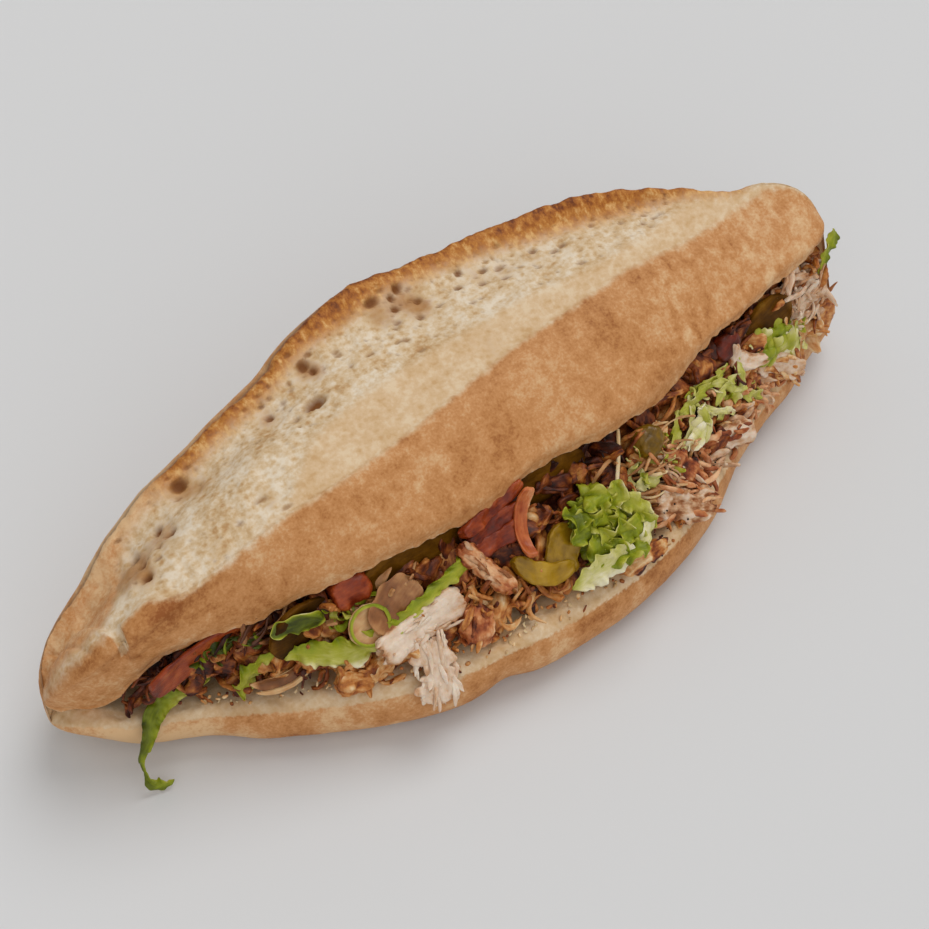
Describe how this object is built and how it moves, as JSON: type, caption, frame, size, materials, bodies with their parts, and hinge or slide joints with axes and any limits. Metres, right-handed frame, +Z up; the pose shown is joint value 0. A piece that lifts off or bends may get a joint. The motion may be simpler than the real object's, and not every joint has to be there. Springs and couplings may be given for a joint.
{
  "type": "doner kebab sandwich",
  "caption": "Long scored wheat loaf slit open along its front and filled with shaved chicken, lettuce, tomato, pickles and pickled peppers.",
  "frame": {"origin": "middle of the underside of the whole sandwich, on the surface it lies on", "axes": "+X along the loaf to its open right end, +Y from the filled mouth to the joined back, +Z up"},
  "size_m": [0.345, 0.1314, 0.0987],
  "materials": {
    "bread": "matt baked wheat crust, floury and pale where it was scored and torn",
    "roast_chicken": "moist shaved roast chicken",
    "white_chicken": "pale cooked chicken breast with fine fibres",
    "browned_chicken": "browned and spiced outside of roast chicken",
    "lettuce": "crisp green leaf with paler ribs",
    "tomato": "wet red tomato flesh",
    "pickle": "wet olive green pickled cucumber",
    "pickled_pepper": "wet yellow green pickled pepper",
    "onion": "thin translucent cooked onion"
  },
  "bodies": {
    "root": {"bread": "bread", "chicken_bed": "roast_chicken", "lettuce_trailing_leaf": "lettuce", "lettuce_long_ribbon": "lettuce", "lettuce_curly_leaf": "lettuce", "lettuce_right_leaf": "lettuce", "lettuce_end_leaf": "lettuce", "lettuce_right_shreds": "lettuce", "lettuce_folded_leaf": "lettuce", "tomato_strip_left": "tomato", "tomato_strip_middle": "tomato", "tomato_wedge_upper": "tomato", "tomato_wedge_lower": "tomato", "tomato_piece_left": "tomato", "tomato_piece_right": "tomato", "pickle_slice_left": "pickle", "pickle_slice_right": "pickle", "pickle_slice_under_lid": "pickle", "pickle_slice_under_lid_middle": "pickle", "pepper_yellow": "pickled_pepper", "pepper_green_round": "pickled_pepper", "onion_ring": "onion", "onion_petal": "onion", "chicken_flake_hanging": "white_chicken", "chicken_slice_white": "white_chicken", "chicken_slice_roasted": "browned_chicken", "chicken_lump_roasted": "browned_chicken", "chicken_piece_glazed": "roast_chicken", "chicken_piece_peppered": "white_chicken", "chicken_shavings_brown": "browned_chicken", "chicken_piece_lip": "roast_chicken", "chicken_roll": "roast_chicken", "chicken_slice_right_white": "white_chicken", "chicken_slice_right_pink": "roast_chicken", "chicken_shavings_end": "white_chicken"}
  },
  "joints": []
}
